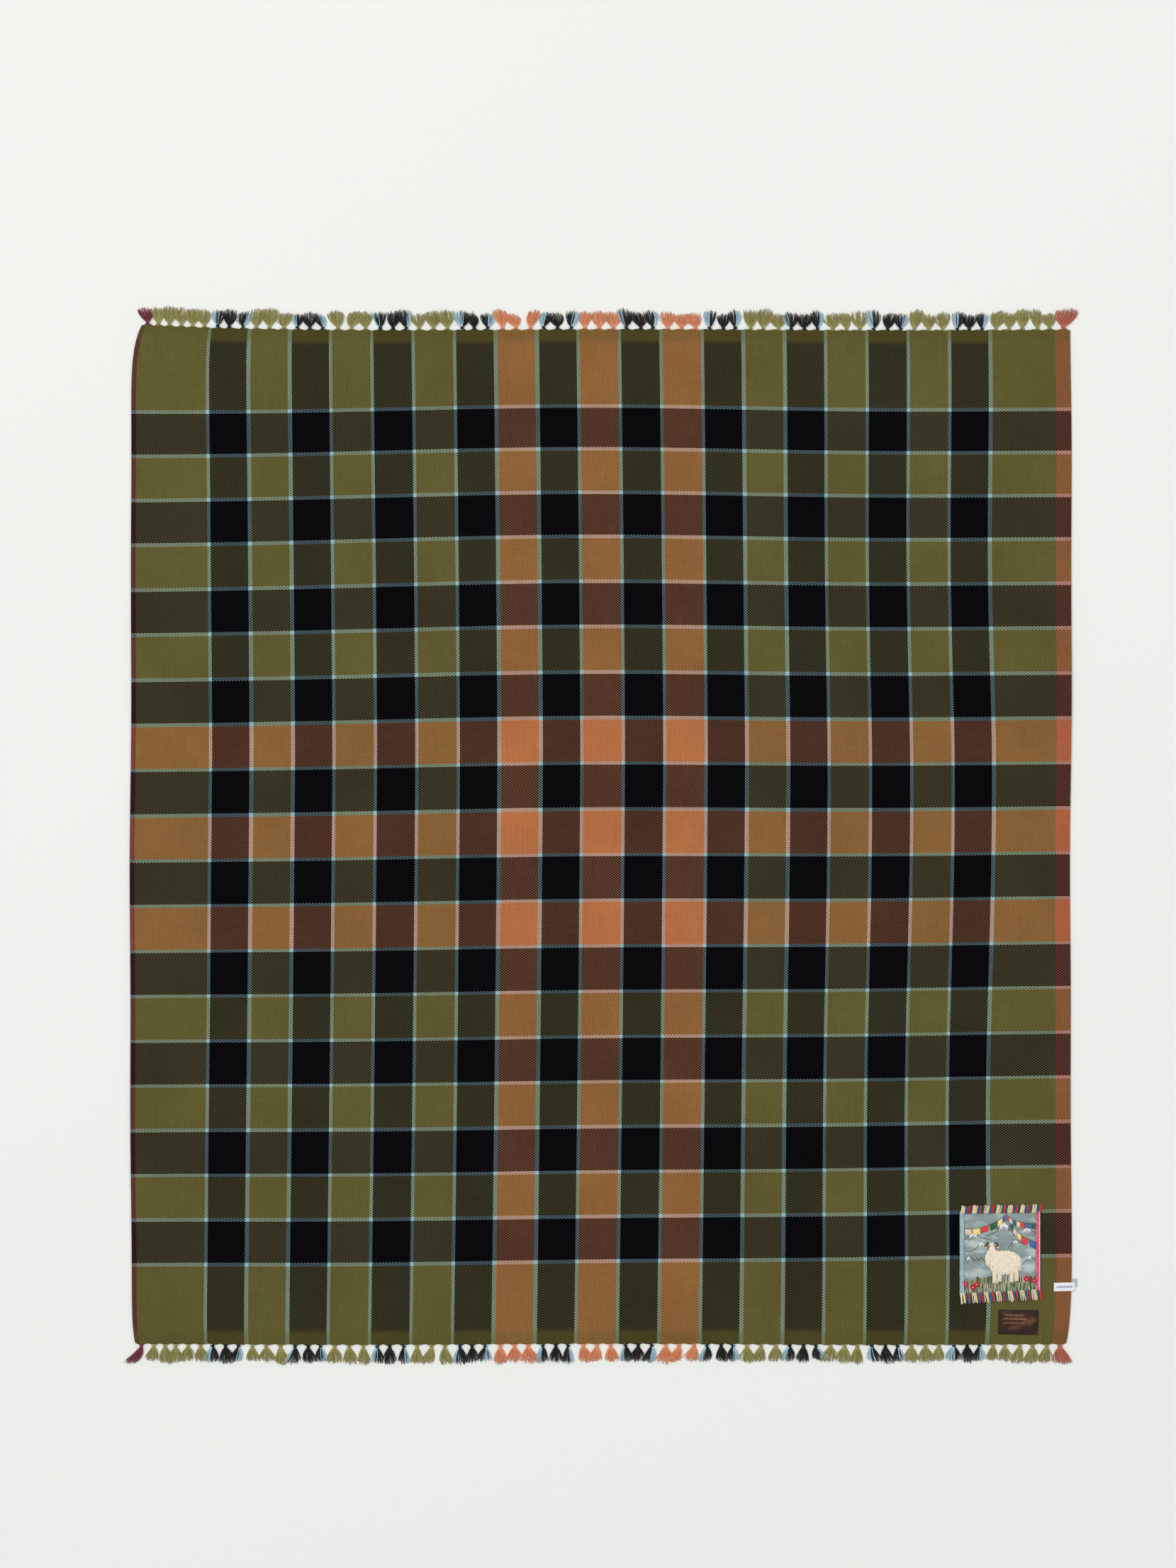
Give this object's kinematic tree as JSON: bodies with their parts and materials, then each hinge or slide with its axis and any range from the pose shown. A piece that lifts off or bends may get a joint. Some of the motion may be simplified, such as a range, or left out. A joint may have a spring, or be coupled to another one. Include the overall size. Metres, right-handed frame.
{
  "type": "camp blanket",
  "caption": "Flat check throw in olive, black and rust with blue lines, knotted fringe at both ends, an embroidered landscape patch and two labels.",
  "frame": {"origin": "middle of the blanket's box on the floor it lies on", "axes": "+X across the width to the patch side, +Y along the length away from the patch, +Z out of the face"},
  "size_m": [1.4058, 1.5626, 0.0061],
  "materials": {
    "check_cloth": "brushed 2/2 twill wool check in olive, black and rust with light blue lines",
    "olive_yarn": "plied wool yarn, heathered olive",
    "black_yarn": "plied wool yarn, black",
    "rust_yarn": "plied wool yarn, light rust",
    "terracotta_yarn": "plied wool yarn, terracotta",
    "burgundy_yarn": "plied wool yarn, burgundy",
    "patch_satin": "satin, grey teal, with a soft sheen",
    "teal_ribbon": "grosgrain ribbon, light teal, topstitched",
    "pink_ribbon": "ribbed ribbon, hot pink, with a white and navy edge",
    "patch_yarns": "cut cotton yarn ends in cream, yellow, blue, red and green",
    "brown_thread": "stem stitch in brown with white snow caps",
    "flag_thread": "satin stitch flags in five colours on a brown string",
    "cream_wool": "long cream pile yarn",
    "grass_thread": "upright stitches in green and cream with red flowers",
    "label_leather": "smooth dark brown leather, worn to a sheen",
    "white_tape": "woven white tape"
  },
  "bodies": {
    "lower_half": {"cloth_lower": "check_cloth", "patch_ground": "patch_satin", "patch_ribbon_left": "teal_ribbon", "patch_ribbon_right": "pink_ribbon", "patch_fringe_top": "patch_yarns", "patch_fringe_bottom": "patch_yarns", "patch_mountains": "brown_thread", "patch_bunting": "flag_thread", "patch_animal": "cream_wool", "patch_meadow": "grass_thread", "leather_label": "label_leather", "edge_label": "white_tape"},
    "upper_half": {"cloth_upper": "check_cloth"},
    "fringe_bottom": {"fringe_bottom_left_selvedge": "burgundy_yarn", "fringe_bottom_stripe_01": "olive_yarn", "fringe_bottom_stripe_02": "black_yarn", "fringe_bottom_stripe_03": "olive_yarn", "fringe_bottom_stripe_04": "black_yarn", "fringe_bottom_stripe_05": "olive_yarn", "fringe_bottom_stripe_06": "black_yarn", "fringe_bottom_stripe_07": "olive_yarn", "fringe_bottom_stripe_08": "black_yarn", "fringe_bottom_stripe_09": "rust_yarn", "fringe_bottom_stripe_10": "black_yarn", "fringe_bottom_stripe_11": "rust_yarn", "fringe_bottom_stripe_12": "black_yarn", "fringe_bottom_stripe_13": "rust_yarn", "fringe_bottom_stripe_14": "black_yarn", "fringe_bottom_stripe_15": "olive_yarn", "fringe_bottom_stripe_16": "black_yarn", "fringe_bottom_stripe_17": "olive_yarn", "fringe_bottom_stripe_18": "black_yarn", "fringe_bottom_stripe_19": "olive_yarn", "fringe_bottom_stripe_20": "black_yarn", "fringe_bottom_stripe_21": "olive_yarn", "fringe_bottom_right_selvedge": "terracotta_yarn"},
    "fringe_top": {"fringe_top_left_selvedge": "burgundy_yarn", "fringe_top_stripe_01": "olive_yarn", "fringe_top_stripe_02": "black_yarn", "fringe_top_stripe_03": "olive_yarn", "fringe_top_stripe_04": "black_yarn", "fringe_top_stripe_05": "olive_yarn", "fringe_top_stripe_06": "black_yarn", "fringe_top_stripe_07": "olive_yarn", "fringe_top_stripe_08": "black_yarn", "fringe_top_stripe_09": "rust_yarn", "fringe_top_stripe_10": "black_yarn", "fringe_top_stripe_11": "rust_yarn", "fringe_top_stripe_12": "black_yarn", "fringe_top_stripe_13": "rust_yarn", "fringe_top_stripe_14": "black_yarn", "fringe_top_stripe_15": "olive_yarn", "fringe_top_stripe_16": "black_yarn", "fringe_top_stripe_17": "olive_yarn", "fringe_top_stripe_18": "black_yarn", "fringe_top_stripe_19": "olive_yarn", "fringe_top_stripe_20": "black_yarn", "fringe_top_stripe_21": "olive_yarn", "fringe_top_right_selvedge": "terracotta_yarn"}
  },
  "joints": [
    {"name": "fold", "type": "hinge", "parent": "lower_half", "child": "upper_half", "pos_m": [0, 0, 0.00695], "axis": [1, 0, 0], "range_deg": [0, 179.9]},
    {"name": "fringe_top_swing", "type": "hinge", "parent": "upper_half", "child": "fringe_top", "pos_m": [0, 0.754, 0.0034], "axis": [1, 0, 0], "range_deg": [0, 179.9]},
    {"name": "fringe_bottom_swing", "type": "hinge", "parent": "lower_half", "child": "fringe_bottom", "pos_m": [0, -0.754, 0.0034], "axis": [-1, 0, 0], "range_deg": [0, 179.9]}
  ]
}
